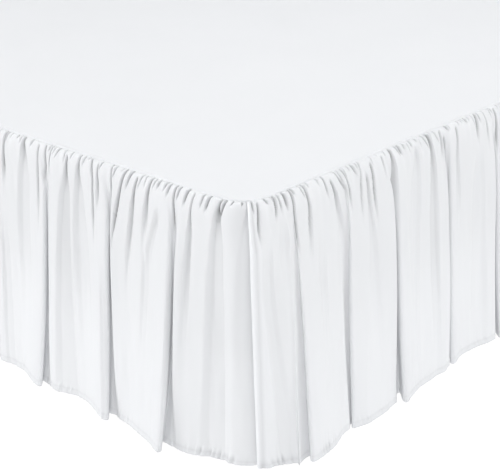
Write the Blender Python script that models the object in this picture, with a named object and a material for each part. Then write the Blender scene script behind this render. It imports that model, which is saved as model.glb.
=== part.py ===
"""A queen bed skirt hanging from the box spring and plain steel frame that it dresses.

The skirt is a flat deck with three gathered ruffles sewn to its edge: one at the foot and one
along each side. The ruffles are split at both foot corners, where each side ruffle laps over the
end of the foot ruffle. Nothing hangs at the head.

Units are metres. +Z is up and +Y points to the head of the bed. The origin is on the floor,
under the middle of the whole part.
"""

import math
import random
from collections import namedtuple

import bmesh
import bpy
from mathutils import Vector

MM = 0.001

# ---------------------------------------------------------------- driving sizes
BOX_WIDTH = 1.512
BOX_LENGTH = 2.020
BOX_HEIGHT = 0.229
BOX_CORNER = 0.030          # plan radius of the box spring's corners
BOX_EDGE = 0.016            # rounding of its top and bottom edges
FRAME_HEIGHT = 0.162        # floor to the underside of the box spring

CLOTH = 0.0015              # thickness of every sheet
SEAM_GAP = 0.0003           # sewn pieces lie face to face with this between their meshes
SEAM_INSET = 0.006          # the seam lies this far inside the box spring's faces
SEAM_CORNER = 0.022         # plan radius of the seam at the foot corners
DECK_HEAD_CORNER = 0.010    # plan radius of the deck's corners at the head
DROP = 0.381                # seam to hem, measured straight down; the hem clears the floor by 11 mm
RUFFLE_REACH = 0.060        # the furthest that a fold stands out from the seam

RAIL = 0.038                # width and height of the steel tubes
RAIL_EDGE = 0.004           # rounding of a tube's edges
RAIL_INSET = 0.060          # box spring's face to the outer side of a rail
LEG_RADIUS = 0.017
GLIDE_RADIUS = 0.026
GLIDE_HEIGHT = 0.014

# ---------------------------------------------------------------- sizes worked out from them
DECK_BOTTOM = FRAME_HEIGHT + BOX_HEIGHT + SEAM_GAP
PART_LENGTH = RUFFLE_REACH - SEAM_INSET + BOX_LENGTH
FOOT_FACE_Y = RUFFLE_REACH - SEAM_INSET - PART_LENGTH / 2
HEAD_FACE_Y = FOOT_FACE_Y + BOX_LENGTH
FOOT_SEAM_Y = FOOT_FACE_Y + SEAM_INSET
HEAD_EDGE_Y = HEAD_FACE_Y - SEAM_INSET
SIDE_SEAM_X = BOX_WIDTH / 2 - SEAM_INSET
DECK_WIDTH = 2 * SIDE_SEAM_X
DECK_LENGTH = HEAD_EDGE_Y - FOOT_SEAM_Y
SPLIT = SEAM_CORNER * (1 - math.pi / 4)   # where the ruffles part, at the middle of the corner

# ---------------------------------------------------------------- how the ruffles hang
# One row is one broad fold, from its rolled near edge to where it goes behind the next fold.
# All sizes are in millimetres. "top", "low" and "hem" say how far the near edge is from the
# corner under the rim, low down, and at the hem, where the edge swings to. Then come offsets out
# from the seam line: the near edge, three places across the front, and the far end. Beyond that
# is a slot, "slot" wide at the hem and wider by "gape" under the rim, as deep as the offset
# "turn". The cloth runs in under the next fold there by "tuck". "lap" is the share of the hem's
# offsets that it has under the rim too.
Fold = namedtuple("Fold", "top low hem edge near middle far end slot gape turn tuck lap")

FOOT_FOLDS = [
    Fold(6, -3, -5, 12, 13, 22, 35, 38, 2, 8, 34, 20, 0.1),
    Fold(118, 113, 121, 59, 47, 41, 35, 34, 7, -5, 31, 22, 0.0),
    Fold(241, 242, 241, 52, 38, 28, 46, 40, 7, 1, 37, 20, 0.0),
    Fold(374, 386, 394, 53, 46, 32, 37, 40, 7, 0, 30, 20, 0.0),
]
SIDE_FOLDS = [
    Fold(6, 9, 9, 18, 26, 35, 41, 47, 16, -10, 42, 14, 1.0),
    Fold(73, 67, 64, 58, 57, 53, 39, 40, 1, 27, 32, 14, 0.5),
    Fold(188, 169, 169, 45, 53, 51, 51, 46, 5, 0, 30, 20, 0.0),
    Fold(294, 266, 276, 57, 47, 45, 49, 43, 4, 0, 28, 14, 0.0),
    Fold(424, 422, 420, 44, 35, 40, 46, 49, 4, 0, 28, 16, 0.0),
    Fold(552, 537, 545, 56, 44, 42, 40, 42, 5, 0, 28, 16, 0.0),
]
LEFT_FIRST_FOLD = Fold(6, 9, 9, 18, 26, 38, 44, 42, 7, 0, 24, 14, 0.0)

FOLD_PITCH = 128 * MM       # mean width of the folds that follow the drawn ones
LOW_RANGE = (-16, 16)       # how far such a fold's edge strays from its even place, low down
LEAN_RANGE = (-10, 10)       # how far it leans between the rim and there
HEM_RANGE = (-4, 14)        # how far it swings at the hem
EDGE_RANGE = (42, 55)
FRONT_RANGE = (30, 50)
END_RANGE = (34, 44)
SLOT_RANGE = (4, 7)
GAPE_RANGE = (0, 5)
TURN_RANGE = (24, 32)
TUCK_RANGE = (14, 26)
FOOT_FALL_IN = (19, 15)     # far and end of the last fold, which falls in beside the corner
SIDE_FALL_IN = (36, 30)     # the same at the head, where the cloth hangs a little nearer
SPLIT_EDGE = 12             # offset of the foot ruffle's far edge
HEAD_EDGE = 26              # offset of a side ruffle's edge at the head

EDGE_SHARE = 0.07           # how far across a fold its front is at each of its offsets
NEAR_SHARE = 0.28
MIDDLE_SHARE = 0.52
FAR_SHARE = 0.76
CORNER_SHARES = (0.05, 0.10, 0.16)     # closer columns where the cloth rounds a corner
ROLL = 4 * MM               # size of the roll at a fold's near edge
LIP = 4 * MM                # and of the turn at its far end
SMALL_TURN = 0.3            # neither is more than this share of the slot's depth
TUCK_POWER = 1.2            # the tuck grows with this power of the depth,
TURN_POWER = 2              # the turn's offset with this one,
FALL_POWER = 3              # and the far end falls back with this one
STEP = 2                    # a far end under the rim lies this far inside the next fold's edge
SETTLE = 0.042              # depth over which the gathers settle into folds
SETTLE_POWER = 1.6
FLARE = 0.90                # share of a fold's offset that it gains between rim and hem
LEAST_OUT = 12 * MM         # the cloth nearest the box spring hangs this far outside the seam
CORNER_RISE = 5 * MM        # the hem hangs this much higher at a split corner
CORNER_REACH = 45 * MM      # distance over which it comes down again
MITRE_LIMIT = 1.6           # a sharp fold is no thicker than this share of the cloth
HEM_SWING = 4               # power of the swing of an edge near the hem
WIDTH_DEPTH = 0.160         # the cloth's width is measured along the folds this far down
DEPTHS = (0.0, 0.012, 0.030, 0.060, WIDTH_DEPTH, 0.290, DROP)    # rows of the mesh, to the hem


# ---------------------------------------------------------------- plain helpers
def clear_scene():
    for thing in list(bpy.data.objects):
        bpy.data.objects.remove(thing, do_unlink=True)


def material(name, colour, roughness, metallic=0.0):
    made = bpy.data.materials.new(name)
    made.use_nodes = True
    shader = made.node_tree.nodes["Principled BSDF"]
    shader.inputs["Base Color"].default_value = (*colour, 1.0)
    shader.inputs["Roughness"].default_value = roughness
    shader.inputs["Metallic"].default_value = metallic
    return made


def add_object(name, mesh_data, finish):
    mesh_data.materials.append(finish)
    made = bpy.data.objects.new(name, mesh_data)
    bpy.context.collection.objects.link(made)
    return made


def mesh_from(bm, name):
    bmesh.ops.recalc_face_normals(bm, faces=bm.faces)
    mesh_data = bpy.data.meshes.new(name)
    bm.to_mesh(mesh_data)
    bm.free()
    return mesh_data


def prism(name, outline, bottom, top, finish):
    """A solid with the outline's shape in plan, between two heights."""
    bm = bmesh.new()
    base = bm.faces.new([bm.verts.new((x, y, bottom)) for x, y in outline])
    raised = bmesh.ops.extrude_face_region(bm, geom=[base])["geom"]
    tops = [item for item in raised if isinstance(item, bmesh.types.BMVert)]
    bmesh.ops.translate(bm, verts=tops, vec=(0, 0, top - bottom))
    return add_object(name, mesh_from(bm, name), finish)


def rounded_outline(half_width, low_y, high_y, low_radius, high_radius, steps):
    """A rectangle about x = 0, with its corners rounded by one radius at each end."""
    corners = [
        (half_width - low_radius, low_y + low_radius, low_radius, -90),
        (half_width - high_radius, high_y - high_radius, high_radius, 0),
        (-half_width + high_radius, high_y - high_radius, high_radius, 90),
        (-half_width + low_radius, low_y + low_radius, low_radius, 180),
    ]
    outline = []
    for x, y, radius, start in corners:
        for step in range(steps + 1):
            angle = math.radians(start + 90 * step / steps)
            outline.append((x + radius * math.cos(angle), y + radius * math.sin(angle)))
    return outline


# ---------------------------------------------------------------- box spring and frame
def box_spring(finish):
    outline = rounded_outline(BOX_WIDTH / 2, FOOT_FACE_Y, HEAD_FACE_Y, BOX_CORNER, BOX_CORNER, 5)
    made = prism("box_spring", outline, FRAME_HEIGHT, FRAME_HEIGHT + BOX_HEIGHT, finish)
    bevel = made.modifiers.new("rounded_edges", "BEVEL")
    bevel.width = BOX_EDGE
    bevel.segments = 3
    bevel.limit_method = "ANGLE"
    bevel.angle_limit = math.radians(60)
    return made


def beam(name, low, high, finish):
    """A straight steel tube, closed at its ends, from one corner to the opposite one."""
    outline = [(low[0], low[1]), (high[0], low[1]), (high[0], high[1]), (low[0], high[1])]
    made = prism(name, outline, low[2], high[2], finish)
    bevel = made.modifiers.new("soft_edges", "BEVEL")
    bevel.width = RAIL_EDGE
    bevel.segments = 2
    return made


def upright(name, x, y, bottom, top, radius, finish):
    bm = bmesh.new()
    bmesh.ops.create_cone(bm, cap_ends=True, segments=20, radius1=radius, radius2=radius,
                          depth=top - bottom)
    made = add_object(name, mesh_from(bm, name), finish)
    made.location = (x, y, (top + bottom) / 2)
    return made


def bed_frame(steel, plastic):
    """Two side rails, three cross bars between them, and seven legs on glides."""
    top = FRAME_HEIGHT - SEAM_GAP
    bottom = top - RAIL
    outer = BOX_WIDTH / 2 - RAIL_INSET
    inner = outer - RAIL
    foot = FOOT_FACE_Y + RAIL_INSET
    head = HEAD_FACE_Y - RAIL_INSET
    beam("rail_right", (inner, foot, bottom), (outer, head, top), steel)
    beam("rail_left", (-outer, foot, bottom), (-inner, head, top), steel)
    places = {"foot": foot + RAIL / 2, "middle": (foot + head) / 2, "head": head - RAIL / 2}
    reach = inner - SEAM_GAP
    for place, y in places.items():
        low = (-reach, y - RAIL / 2, bottom)
        beam("cross_bar_" + place, low, (reach, y + RAIL / 2, top), steel)
    rail_middle = (inner + outer) / 2
    legs = {"middle_centre": (0.0, places["middle"])}
    for place, y in places.items():
        legs[place + "_right"] = (rail_middle, y)
        legs[place + "_left"] = (-rail_middle, y)
    for place, (x, y) in legs.items():
        foot_top = GLIDE_HEIGHT
        upright("glide_" + place, x, y, 0.0, foot_top, GLIDE_RADIUS, plastic)
        upright("leg_" + place, x, y, foot_top + SEAM_GAP, bottom - SEAM_GAP, LEG_RADIUS, steel)


# ---------------------------------------------------------------- the skirt
def deck(finish):
    """The flat sheet on top of the box spring, square at the head and rounded at the foot."""
    outline = rounded_outline(SIDE_SEAM_X - SEAM_GAP / 2, FOOT_SEAM_Y + SEAM_GAP / 2,
                              HEAD_EDGE_Y, SEAM_CORNER, DECK_HEAD_CORNER, 6)
    return prism("deck", outline, DECK_BOTTOM, DECK_BOTTOM + CLOTH, finish)


class Wall:
    """One side of the bed, measured from a corner of the seam: along it, and out from it."""

    def __init__(self, corner, along, out, run, turns_at_far_end):
        self.corner = corner
        self.along = along
        self.out = out
        self.run = run
        self.turns_at_far_end = turns_at_far_end

    def place(self, along, out):
        """World x and y. Near a corner "along" is measured round the seam's arc."""
        reach = SEAM_CORNER + out
        far_bend = self.run - SEAM_CORNER
        if along < SEAM_CORNER:
            turn = (SEAM_CORNER - along) / SEAM_CORNER
            a = SEAM_CORNER - reach * math.sin(turn)
            n = -SEAM_CORNER + reach * math.cos(turn)
        elif self.turns_at_far_end and along > far_bend:
            turn = (along - far_bend) / SEAM_CORNER
            a = far_bend + reach * math.sin(turn)
            n = -SEAM_CORNER + reach * math.cos(turn)
        else:
            a = along
            n = out
        x = self.corner[0] + a * self.along[0] + n * self.out[0]
        y = self.corner[1] + a * self.along[1] + n * self.out[1]
        return x, y


def more_folds(drawn, run, fall_in, seed):
    """The drawn folds, and as many others as reach the end of the wall, no two the same."""
    rng = random.Random(seed)
    start = drawn[-1].hem * MM
    count = round((run - start) / FOLD_PITCH)
    pitch = (run - start) / count
    folds = list(drawn)
    for number in range(1, count):
        low = (start + number * pitch) / MM + rng.uniform(*LOW_RANGE)
        front = [rng.uniform(*FRONT_RANGE) for _ in range(3)]
        folds.append(Fold(low - rng.uniform(*LEAN_RANGE), low, low + rng.uniform(*HEM_RANGE),
                          rng.uniform(*EDGE_RANGE), *front, rng.uniform(*END_RANGE),
                          rng.uniform(*SLOT_RANGE), rng.uniform(*GAPE_RANGE),
                          rng.uniform(*TURN_RANGE), rng.uniform(*TUCK_RANGE), 0.0))
    folds[-1] = folds[-1]._replace(far=fall_in[0], end=fall_in[1])
    return folds


def edge_along(fold, depth):
    """Distance of a fold's near edge from the corner; depth runs from 0 to 1 at the hem."""
    straight = fold.top + (fold.low - fold.top) * depth
    return (straight + (fold.hem - fold.low) * depth ** HEM_SWING) * MM


def hung(offset, depth):
    """An offset at that depth, in metres: small under the rim, and whole at the hem."""
    least = LEAST_OUT / MM
    return (least + (offset - least) * (1 - FLARE * (1 - depth))) * MM


def control_points(folds, last, depth):
    """The section of a hanging ruffle as the control points of a smooth curve."""
    points = [(edge_along(folds[0], depth), hung(folds[0].edge, depth))]
    for fold, following in zip(folds, folds[1:] + [last]):
        start = edge_along(fold, depth)
        finish = edge_along(following, depth)
        width = finish - start
        if fold is folds[0]:
            front = [(share, fold.edge + (fold.near - fold.edge) * share / NEAR_SHARE)
                     for share in CORNER_SHARES]
        else:
            front = [(EDGE_SHARE, fold.edge)]
        front += [(NEAR_SHARE, fold.near), (MIDDLE_SHARE, fold.middle), (FAR_SHARE, fold.far)]
        if following is last:
            front += [(1 - share, last.edge + (fold.end - last.edge) * share / CORNER_SHARES[-1])
                      for share in reversed(CORNER_SHARES)]
        points += [(start + share * width, hung(offset, depth)) for share, offset in front]
        if following is last:
            break
        slot = (fold.slot + fold.gape * (1 - depth)) * MM
        tuck = fold.tuck * MM * depth ** TUCK_POWER
        turned = fold.lap + (1 - fold.lap) * depth ** TURN_POWER
        turn = hung(LEAST_OUT / MM + (fold.turn - LEAST_OUT / MM) * turned, depth)
        fallen = fold.lap + (1 - fold.lap) * depth ** FALL_POWER
        end = hung(fold.end + max(0, following.edge - STEP - fold.end) * (1 - fallen), depth)
        edge = hung(following.edge, depth)
        roll = min(ROLL, SMALL_TURN * (edge - turn))
        lip = min(LIP, SMALL_TURN * (edge - turn))
        points.append((finish - slot - roll, end))
        points.append((finish - slot, end - 0.3 * lip))
        points.append((finish - slot, turn + 0.3 * (end - turn)))
        points.append((finish - 0.4 * slot + tuck, turn))
        points.append((finish + tuck, turn + lip))
        points.append((finish, edge - 2 * roll))
        points.append((finish + 0.1 * roll, edge - 0.4 * roll))
        points.append((finish + roll, edge))
    points.append((edge_along(last, depth), hung(last.edge, depth)))
    return points


def smooth(points):
    """One point of the cubic B-spline for each control point, with the two ends kept."""
    result = [points[0]]
    for before, here, after in zip(points, points[1:], points[2:]):
        result.append(tuple((b + 4 * h + a) / 6 for b, h, a in zip(before, here, after)))
    result.append(points[-1])
    return result


def spread(points, start, stop):
    """Places along the seam for the columns, in proportion to the cloth between them."""
    lengths = [0.0]
    for here, after in zip(points, points[1:]):
        lengths.append(lengths[-1] + math.dist(here, after))
    return [start + (stop - start) * length / lengths[-1] for length in lengths]


def hem_drop(seam_along, run, turns_at_far_end):
    """Seam to hem, a little less beside a split corner."""
    near = math.exp(-seam_along / CORNER_REACH)
    far = math.exp((seam_along - run) / CORNER_REACH) if turns_at_far_end else 0.0
    return DROP - CORNER_RISE * (near + far)


def column(seam_along, sections, drop):
    """The points of one column, from the seam over the rim and down to the hem."""
    along = seam_along
    out = 0.0
    fall = 0.0
    points = [(along, out, fall)]
    for (depth, before_depth, (low_along, low_out)) in sections:
        step = (depth - before_depth) * drop
        length = depth * drop
        hanging = max(low_out, LEAST_OUT)
        new_out = hanging * (1 - math.exp(-length / hanging))
        fall += math.sqrt(max(step ** 2 - (new_out - out) ** 2, (0.1 * step) ** 2))
        out = new_out
        settled = 1 - math.exp(-(length / SETTLE) ** SETTLE_POWER)
        along = seam_along + (low_along - seam_along) * settled
        points.append((along, out, fall))
    return [(along, out, fall * drop / points[-1][2]) for along, out, fall in points]


def sheet_solid(bm, grid):
    """Turn a grid of vertices into a closed sheet, half its thickness to each side of the grid."""
    for left, right in zip(grid, grid[1:]):
        for row in range(len(left) - 1):
            bm.faces.new((left[row], left[row + 1], right[row + 1], right[row]))
    bm.normal_update()
    halves = {}
    for line in grid:
        for vertex in line:
            reach = CLOTH / 2 * min(vertex.calc_shell_factor(), MITRE_LIMIT)
            halves[vertex] = vertex.normal * reach
        sewn = line[0]          # the sewn edge stands square to the deck's edge
        halves[sewn] = Vector((0, 0, math.copysign(CLOTH / 2, sewn.normal.z)))
    rim = [edge for edge in bm.edges if edge.is_boundary]
    backs = {}
    for vertex, half in halves.items():
        backs[vertex] = bm.verts.new(vertex.co - half)
        vertex.co = vertex.co + half
    for face in list(bm.faces):
        bm.faces.new([backs[vertex] for vertex in reversed(face.verts)])
    for edge in rim:
        one, two = edge.verts
        bm.faces.new((one, two, backs[two], backs[one]))


def ruffle(name, wall, folds, last, seam_start, seam_stop, finish):
    depths = [depth / DROP for depth in DEPTHS]
    sections = [smooth(control_points(folds, last, depth)) for depth in depths]
    seam_places = spread(sections[DEPTHS.index(WIDTH_DEPTH)], seam_start, seam_stop)
    bm = bmesh.new()
    grid = []
    for index, seam_along in enumerate(seam_places):
        rows = [(depths[row], depths[row - 1], sections[row][index])
                for row in range(1, len(depths))]
        line = []
        drop = hem_drop(seam_along, wall.run, wall.turns_at_far_end)
        for along, out, fall in column(seam_along, rows, drop):
            x, y = wall.place(along, out + SEAM_GAP / 2)
            line.append(bm.verts.new((x, y, DECK_BOTTOM + CLOTH / 2 - fall)))
        grid.append(line)
    sheet_solid(bm, grid)
    return add_object(name, mesh_from(bm, name), finish)


def far_edge(top, low, edge):
    """The edge that ends a ruffle: only its places and its offset count."""
    return Fold(top, low, low, edge, 0, 0, 0, 0, 0, 0, 0, 0, 0)


def skirt(finish):
    deck(finish)
    split = SPLIT + SEAM_GAP
    foot = Wall((SIDE_SEAM_X, FOOT_SEAM_Y), (-1, 0), (0, -1), DECK_WIDTH, True)
    right = Wall((SIDE_SEAM_X, FOOT_SEAM_Y), (0, 1), (1, 0), DECK_LENGTH, False)
    left = Wall((-SIDE_SEAM_X, FOOT_SEAM_Y), (0, 1), (-1, 0), DECK_LENGTH, False)
    foot_end = DECK_WIDTH / MM
    side_end = DECK_LENGTH / MM
    foot_last = far_edge(foot_end - FOOT_FOLDS[0].top, foot_end - FOOT_FOLDS[0].low, SPLIT_EDGE)
    side_last = far_edge(side_end, side_end, HEAD_EDGE)
    foot_folds = more_folds(FOOT_FOLDS, DECK_WIDTH, FOOT_FALL_IN, seed=11)
    right_folds = more_folds(SIDE_FOLDS, DECK_LENGTH, SIDE_FALL_IN, seed=23)
    left_folds = more_folds([LEFT_FIRST_FOLD], DECK_LENGTH, SIDE_FALL_IN, seed=37)
    ruffle("ruffle_foot", foot, foot_folds, foot_last, split, DECK_WIDTH - split, finish)
    ruffle("ruffle_right", right, right_folds, side_last, split, DECK_LENGTH, finish)
    ruffle("ruffle_left", left, left_folds, side_last, split, DECK_LENGTH, finish)


def main():
    clear_scene()
    white = material("white_cloth", (0.86, 0.87, 0.88), 0.85)
    ticking = material("box_spring_cover", (0.80, 0.80, 0.78), 0.90)
    steel = material("painted_steel", (0.10, 0.10, 0.11), 0.45, 0.6)
    plastic = material("black_plastic", (0.03, 0.03, 0.03), 0.55)
    box_spring(ticking)
    bed_frame(steel, plastic)
    skirt(white)


main()
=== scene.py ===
"""The looks of a white gathered bed skirt on its box spring and steel bed frame.

Sizes are in metres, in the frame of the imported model: +Z is up, +Y points to the head of the bed,
and the origin is on the floor under the middle. The tables are in millimetres.
"""
import math
import random
from collections import namedtuple

import bmesh
import bpy
import numpy as np
from mathutils import Matrix, Vector


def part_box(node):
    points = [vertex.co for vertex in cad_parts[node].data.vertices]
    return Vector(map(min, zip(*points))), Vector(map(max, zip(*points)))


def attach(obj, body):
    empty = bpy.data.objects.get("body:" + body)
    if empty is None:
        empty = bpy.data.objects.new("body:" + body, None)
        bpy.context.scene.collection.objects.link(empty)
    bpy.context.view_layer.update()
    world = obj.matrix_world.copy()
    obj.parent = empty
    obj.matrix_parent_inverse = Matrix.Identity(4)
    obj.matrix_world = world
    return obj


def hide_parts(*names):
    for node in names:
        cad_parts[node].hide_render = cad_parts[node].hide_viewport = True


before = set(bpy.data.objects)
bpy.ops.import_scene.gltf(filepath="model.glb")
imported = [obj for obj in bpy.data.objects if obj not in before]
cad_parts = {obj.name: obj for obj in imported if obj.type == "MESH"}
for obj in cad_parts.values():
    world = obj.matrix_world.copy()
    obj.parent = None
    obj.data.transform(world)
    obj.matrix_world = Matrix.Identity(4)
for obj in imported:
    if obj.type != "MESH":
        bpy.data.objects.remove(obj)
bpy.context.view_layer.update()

MM = 0.001

# -------- sizes read from the frame
SEAM_GAP = 0.0003
deck_low, deck_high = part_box("deck")
SIDE_SEAM_X = deck_high[0] + SEAM_GAP / 2
FOOT_SEAM_Y = deck_low[1] - SEAM_GAP / 2
HEAD_EDGE_Y = deck_high[1]
DECK_WIDTH = 2 * SIDE_SEAM_X
DECK_LENGTH = HEAD_EDGE_Y - FOOT_SEAM_Y
SEAM_Z = (deck_low[2] + deck_high[2]) / 2

# -------- the broad folds
SEAM_CORNER = 0.022  # plan radius of the seam at the foot corners
DROP = 0.381  # seam to hem, measured straight down
SPLIT = SEAM_CORNER * (1 - math.pi / 4)  # where the ruffles part, along from the square corner

# One row is one broad fold, in millimetres, as the solids have it. "top", "low" and "hem" say how
# far its near edge is from the corner under the rim, low down, and at the hem. Then come offsets
# out from the seam line: its near edge, three places across its front, and its far end. Beyond
# that is a slot, "slot" wide at the hem and wider by "gape" under the rim, as deep as the offset
# "turn". The cloth runs in under the next fold there by "tuck". "lap" is the share of the hem's
# offsets that it has under the rim too.
Fold = namedtuple("Fold", "top low hem edge near middle far end slot gape turn tuck lap")

FOOT_FOLDS = [
    Fold(6, -3, -5, 12, 13, 22, 35, 38, 2, 8, 34, 20, 0.1),
    Fold(118, 113, 121, 59, 47, 41, 35, 34, 7, -5, 31, 22, 0.0),
    Fold(241, 242, 241, 52, 38, 28, 46, 40, 7, 1, 37, 20, 0.0),
    Fold(374, 386, 394, 53, 46, 32, 37, 40, 7, 0, 30, 20, 0.0),
]
SIDE_FOLDS = [
    Fold(6, 9, 9, 18, 26, 35, 41, 47, 16, -10, 42, 14, 1.0),
    Fold(73, 67, 64, 58, 57, 53, 39, 40, 1, 27, 32, 14, 0.5),
    Fold(188, 169, 169, 45, 53, 51, 51, 46, 5, 0, 30, 20, 0.0),
    Fold(294, 266, 276, 57, 47, 45, 49, 43, 4, 0, 28, 14, 0.0),
    Fold(424, 422, 420, 44, 35, 40, 46, 49, 4, 0, 28, 16, 0.0),
    Fold(552, 537, 545, 56, 44, 42, 40, 42, 5, 0, 28, 16, 0.0),
]
LEFT_FIRST_FOLD = Fold(6, 9, 9, 18, 26, 38, 44, 42, 7, 0, 24, 14, 0.0)

# The folds beyond those have this pitch, and these ranges in the order of the random draws:
# "low" from its even place, and "top" and "hem" from "low".
FOLD_PITCH = 128 * MM
FOLD_RANGES = {
    "low": (-16, 16), "near": (30, 50), "middle": (30, 50), "far": (30, 50), "top": (-10, 10),
    "hem": (-4, 14), "edge": (42, 55), "end": (34, 44), "slot": (4, 7), "gape": (0, 5),
    "turn": (24, 32), "tuck": (14, 26)}
FOOT_FALL_IN = (19, 15)  # a ruffle's last fold falls in to these, at "far" and "end",
SIDE_FALL_IN = (36, 30)
SPLIT_EDGE = 12  # and the ruffle ends at this offset
HEAD_EDGE = 26

EDGE_SHARE = 0.07  # where the offsets are across a front, as shares of its width
NEAR_SHARE = 0.28
MIDDLE_SHARE = 0.52
FAR_SHARE = 0.76
CORNER_SHARES = (0.05, 0.10, 0.16)
ROLL = 4 * MM  # size of a near edge's bend
LIP = 4 * MM  # and of a far end's
SMALL_TURN = 0.3  # but neither is more than this share of the step between them
EDGE_BEND = (0.1, 0.4)  # shares of its bend at which a near edge has a point, along and in
SLOT_BEND = 0.3  # share of the lip, and of the depth, where a slot's wall has points
SLOT_FLOOR = 0.4  # share of the width where its floor has one
TUCK_POWER = 1.2  # a tuck grows by this power of the depth down the cloth,
TURN_POWER = 2  # a slot gets deeper by this one,
FALL_POWER = 3  # a far end falls in by this,
HEM_SWING = 4  # and an edge swings to its place at the hem by this
STEP = 2  # a far end lies this far inside the next fold, but more at the hem
FLARE = 0.90  # share of an offset that the cloth reaches only at the hem
LEAST_OUT = 12 * MM
SETTLE = 0.042  # length of cloth over which the seam's even spread becomes folds
SETTLE_POWER = 1.6
LEAST_FALL = 0.1  # share of its length that cloth falls at least
CORNER_RISE = 5 * MM  # the hem is higher at a foot corner, within this reach
CORNER_REACH = 45 * MM
WIDTH_DEPTH = 0.160  # the cloth's width is measured along the folds this far down

# -------- the ruffles' mesh
COLUMNS = {"ruffle_foot": 2481, "ruffle_right": 2481, "ruffle_left": 2401}
CLOSER_COLUMNS = {"ruffle_foot": 0.6, "ruffle_right": 0.6, "ruffle_left": 0.0}
CLOSER_UNTIL = 0.62  # they are closer by that share up to here along the seam,
CLOSER_FADE = 0.1  # and less so over this
DENSE_DOWN_TO = 60 * MM  # below this length only every second column goes on
ROW_ZONES = [  # down to this length from the seam, a row every so often
    (12, 1.5), (42, 2.7), (102, 7.5), (362, 20.0), (381, 1.9)]
CURVE_STEPS = 60  # steps to a control point where a curve's length is measured

# -------- hems and edges
HEM_FOLD_UP = 11 * MM  # the hem is turned up this far behind
HEM_THICKNESS = 1.1 * MM
ROUNDING = 1e-6  # more than a length can be out by
STITCH_RISE = 9 * MM  # the hem's stitching, above its edge
STITCH_WIDTH = 1.3 * MM
STITCH_DEPTH = 0.35 * MM  # how far it sinks in
# painted shade along the hem's sunk stitching
STITCH_SHADE = 0.07
PUCKER_PITCH = 8 * MM  # it draws the hem into puckers,
PUCKER_LEAN = 0.2
PUCKER_HEIGHT = 0.3 * MM
PUCKER_REACH = 8 * MM
# painted shade in the troughs of crowded puckers
PUCKER_SHADE = 0.16
CROWDED_HEIGHT = 1.1 * MM  # which are higher by this where they are crowded,
CROWDED = {  # so many millimetres from the corner, and so many each way from there
    "ruffle_foot": [(49, 35)], "ruffle_right": [(28, 20), (102, 16)], "ruffle_left": [(35, 25)]}
CROWD_POWER = 4  # how abruptly such a stretch ends
LAP_REACH = 14 * MM  # a ruffle's edge is this wide,
LAP_FROM = 5 * MM  # and begins over this length under the seam
CORNER_LAP = 7 * MM  # the foot's edges run in under the sides' at the corners by this,
CORNER_BACK = 1.5 * MM  # the sides' edges stay back by this under the rim
CORNER_BACK_REACH = 0.120
CORNER_LIFT = 2.6 * MM  # and stand out by this
EDGE_ROLL = 2.2 * MM  # a side's edge rolls in over this width
EDGE_ROLL_IN = 1.8 * MM
EDGE_PAINTED_HIGHLIGHT = 0.20  # its doubled hem gets a painted highlight,
EDGE_FADE = 0.3  # up to where it ends, within this share of the width,
EDGE_SINK = 1.2 * MM  # and has a line of stitching beyond it, sunk in by this,
EDGE_STITCHING = 2.2  # at so many of those widths from the edge
EDGE_STITCHING_WIDTH = 0.7
# painted shade along that line of stitching
EDGE_SHADE = 0.14

# -------- over and under the rim
RIM_CORNER = 0.040  # the rim rounds a foot corner more than the cloth low down does
RIM_CORNER_REACH = 0.080
RIM_ROOM = 6.0 * MM  # how far in the cloth can go at the rim
RIM_ROOM_GROWS = 0.4  # and how much that grows with the length from the seam
LEAST_CLEAR = 9.0 * MM  # the cloth never comes nearer to the seam's line than this,
CLEAR_FROM = 0.03  # from this length on
RIM_RISE = 5 * MM  # the cloth stands up over the rim, in full from here,
RIM_FALL = 10 * MM  # and less and less from here,
GATHER_LIFT = 2.2 * MM  # by this between the gathers
GATHER_LIFT_REACH = 50 * MM
GATHER_LIFT_WAVES = [(0.25, 0.021), (0.2, 0.07)]  # its unevenness: a share, and a pitch
CORNER_PUFF = 3.5 * MM  # and by this more at a corner
CORNER_PUFF_REACH = 30 * MM
# Each row is one size of unevenness: its pitches along and down the cloth, and its height.
WRINKLES = [(0.018, 0.10, 0.16 * MM), (0.034, 0.25, 0.35 * MM), (0.060, 0.40, 0.95 * MM),
            (0.100, 0.50, 1.50 * MM)]
WRINKLE_LEAN = 0.12
WRINKLE_DRIFT = 0.8
WRINKLES_FROM = 0.06  # the unevenness is whole from this length on

# -------- creases and gathers
# A crease is a trough in the cloth, in millimetres. First come the places of its middle along
# the wall at the lengths in PLACES_AT, and its half widths at those in HALVES_AT, where the last
# one given holds from there on. Then come the length from the seam where it starts, how far down
# it reaches, and its depth.
Crease = namedtuple("Crease", "places halves start reach depth")
PLACES_AT = (0, 30, 120, 330)
HALVES_AT = (10, 30, 60, 120, 330)
CREASE_WINDOW = 110  # millimetres along the seam over which a crease is worked out
CREASE_WALL = 0.6  # its sides slope over this width, and
CREASE_WALL_GROWS = 0.45  # over this share more of its half width
SKEW = 0.5  # the side nearer the corner is steeper, and the other less steep
TAIL_SHARE = 0.3  # on the side nearer the corner, this share of its depth
TAIL = 3.0  # fades over a width that grows down the cloth
TAIL_GROWS = 0.06
TAIL_MOST = 14.0
CREASE_RAMP = 2.5  # it reaches its full depth over this length of cloth, and
CREASE_RAMP_GROWS = 0.8  # over this share more of the length where it starts
FADE_FROM = 0.35  # share of its reach at which it begins to fade
UNION_POWER = 2.5  # where two creases meet, the deeper one counts most
BROAD_SHALLOWER = 0.2  # the broadest creases are less deep by this share,
BROAD_FROM = 2  # from this half width on
BROAD_OVER = 8
STEEP = 3.0  # a crease this many half widths deep gets the full painted shade,
STEEP_POWER = 1.3
SHADE_DEPTH = 6.0  # if it is this deep as well
CREASE_SHADE = 0.68  # share of the cloth's brightness that the painted shade takes away there

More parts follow.
